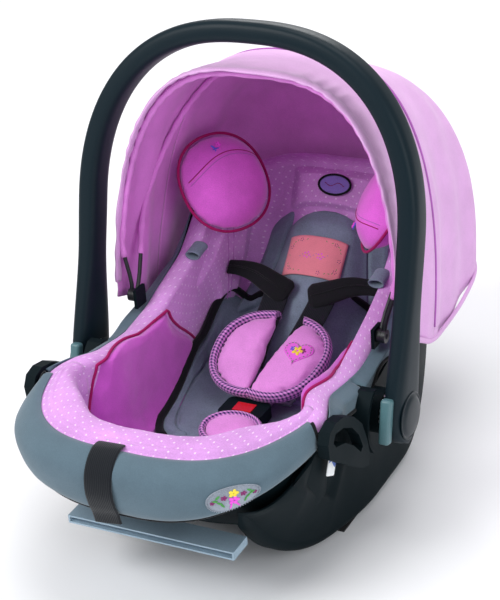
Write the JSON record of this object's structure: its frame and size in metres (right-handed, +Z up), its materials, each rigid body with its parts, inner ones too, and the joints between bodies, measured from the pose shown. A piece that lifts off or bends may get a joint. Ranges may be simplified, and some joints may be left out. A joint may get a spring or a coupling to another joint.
{
  "type": "infant car seat",
  "caption": "Infant carrier with a padded bucket on rockers, a swivelling carry handle, a folding sun canopy and a harness with chest pads.",
  "frame": {"origin": "middle of the base, at floor level", "axes": "+X to the seat's left as the baby sits, +Y from the foot end to the head end, +Z up"},
  "size_m": [0.4378, 0.6643, 0.5413],
  "materials": {
    "shell_plastic": "fine moulded texture",
    "handle_plastic": "satin",
    "cap_plastic": "satin",
    "button_plastic": "satin",
    "rubber": "matt",
    "foam": "beaded foam",
    "dotted_pink_cloth": "woven, small white dots",
    "canopy_cloth": "plain weave",
    "deep_pink_cloth": "brushed weave",
    "pad_cloth": "brushed weave with checked binding",
    "grey_cloth": "plain weave",
    "badge_cloth": "embroidered",
    "patch_cloth": "woven",
    "embroidery_cloth": "embroidered",
    "webbing": "woven strap",
    "buckle_plastic": "satin",
    "red_plastic": "polished",
    "steel": "zinc plated",
    "clear_plastic": "clear sheet",
    "marker_film": "printed film"
  },
  "bodies": {
    "seat": {"seat_shell": "shell_plastic", "rocker_left": "shell_plastic", "rocker_right": "shell_plastic", "rest_pads": "rubber", "foam_liner": "foam", "seat_cover": "dotted_pink_cloth", "foot_cover": "grey_cloth", "hip_panel_left": "deep_pink_cloth", "hip_panel_right": "deep_pink_cloth", "seat_pad": "grey_cloth", "back_pad": "grey_cloth", "headrest_pad": "dotted_pink_cloth", "head_bolster_left": "deep_pink_cloth", "head_bolster_right": "deep_pink_cloth", "headrest_badge": "badge_cloth", "back_patch": "patch_cloth", "shoulder_strap_left": "webbing", "shoulder_strap_right": "webbing", "strap_flap_left": "webbing", "strap_flap_right": "webbing", "chest_pad_left": "pad_cloth", "chest_pad_right": "pad_cloth", "crotch_pad": "pad_cloth", "crotch_strap": "webbing", "buckle_body": "buckle_plastic", "buckle_tongue_left": "steel", "buckle_tongue_right": "steel", "adjuster_strap": "webbing", "adjuster_frame": "steel", "rear_yoke": "steel", "belt_guide_left": "shell_plastic", "belt_guide_right": "shell_plastic", "hub_mount_left": "shell_plastic", "hub_mount_right": "shell_plastic", "detent_ring_left": "steel", "detent_ring_right": "steel", "pivot_pin_left": "steel", "pivot_pin_right": "steel", "canopy_bracket_left": "shell_plastic", "canopy_bracket_right": "shell_plastic", "canopy_rear_cloth": "canopy_cloth", "document_pocket": "clear_plastic", "arrow_marker_left": "marker_film", "arrow_marker_right": "marker_film", "foot_patch": "embroidery_cloth"},
    "handle": {"handle_arch": "handle_plastic", "handle_hub_left": "handle_plastic", "handle_hub_right": "handle_plastic", "hub_cap_left": "cap_plastic", "hub_cap_right": "cap_plastic"},
    "release_button_l": {"release_button_left": "button_plastic"},
    "release_button_r": {"release_button_right": "button_plastic"},
    "canopy_rear": {"rear_bow": "steel"},
    "canopy_front": {"front_bow": "steel", "canopy_front_cloth": "canopy_cloth"},
    "buckle_press": {"buckle_button": "red_plastic"},
    "adjuster_clamp": {"adjuster_lever": "steel"}
  },
  "joints": [
    {"name": "handle_swing", "type": "hinge", "parent": "seat", "child": "handle", "pos_m": [0, -0.0362, 0.132], "axis": [1, 0, 0], "range_deg": [-88, 60]},
    {"name": "release_button_slide_left", "type": "slide", "parent": "handle", "child": "release_button_l", "axis": [0, 0.9703, -0.2419], "range_m": [0, 0.005], "stiffness_N_per_m": 400, "springref_m": -0.002},
    {"name": "release_button_slide_right", "type": "slide", "parent": "handle", "child": "release_button_r", "axis": [0, 0.9703, -0.2419], "range_m": [0, 0.005], "stiffness_N_per_m": 400, "springref_m": -0.002},
    {"name": "canopy_rear_fold", "type": "hinge", "parent": "seat", "child": "canopy_rear", "pos_m": [0, 0.0138, 0.198], "axis": [1, 0, 0], "range_deg": [-18, 0], "deforming": ["canopy_rear_cloth"]},
    {"name": "canopy_front_fold", "type": "hinge", "parent": "canopy_rear", "child": "canopy_front", "pos_m": [0, 0.0138, 0.198], "axis": [1, 0, 0], "range_deg": [-17, 0], "deforming": ["canopy_front_cloth"]},
    {"name": "buckle_button_press", "type": "slide", "parent": "seat", "child": "buckle_press", "axis": [0, 0, -1], "range_m": [0, 0.004], "stiffness_N_per_m": 500, "springref_m": -0.002},
    {"name": "adjuster_lever_lift", "type": "hinge", "parent": "seat", "child": "adjuster_clamp", "pos_m": [0, -0.2787, 0.1962], "axis": [1, 0, 0], "range_deg": [0, 12], "stiffness_Nm_per_rad": 0.05, "springref_deg": -8.59}
  ]
}
